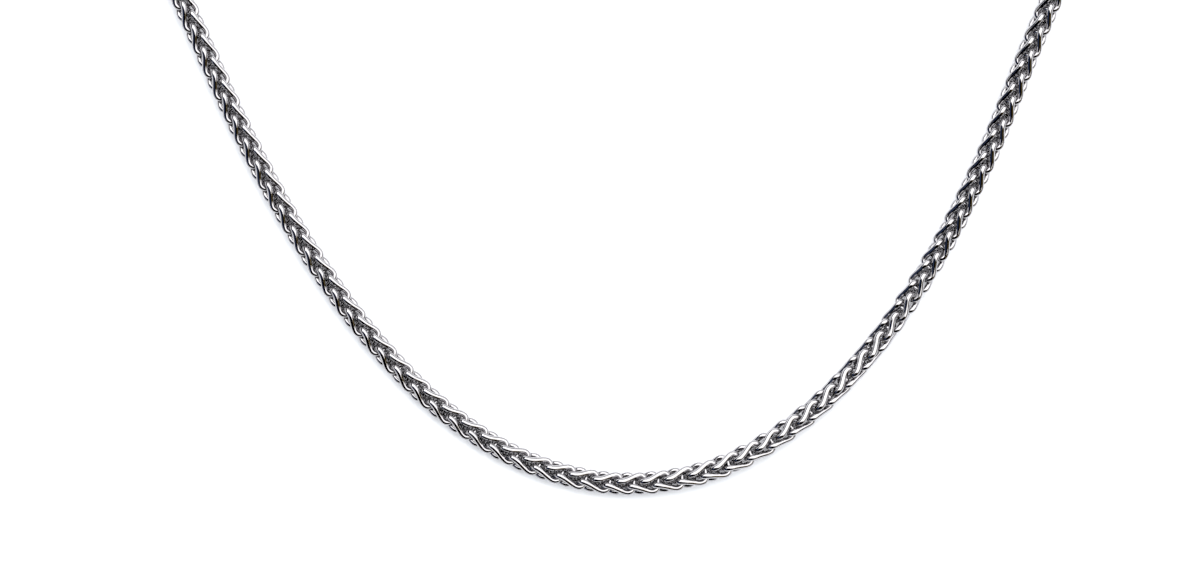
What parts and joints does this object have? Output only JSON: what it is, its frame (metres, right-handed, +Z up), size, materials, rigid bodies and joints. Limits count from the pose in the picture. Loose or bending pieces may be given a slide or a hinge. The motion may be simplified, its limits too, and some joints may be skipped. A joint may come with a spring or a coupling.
{
  "type": "wheat chain necklace",
  "caption": "Closed neck chain of twisted oval links in a square wheat-ear plait, with end caps and a plain clasp, lying flat.",
  "frame": {"origin": "middle of the loop, on the surface that it lies on", "axes": "+Z up from the surface, +Y towards the clasp, +X to the right with the front of the loop nearest at -Y"},
  "size_m": [0.145, 0.1806, 0.0041],
  "materials": {
    "chain_steel": "mirror polished",
    "clasp_steel": "polished"
  },
  "bodies": {
    "root": {"chain_left": "chain_steel", "chain_right": "chain_steel", "end_cap_left": "clasp_steel", "end_cap_right": "clasp_steel", "clasp": "clasp_steel"}
  },
  "joints": []
}
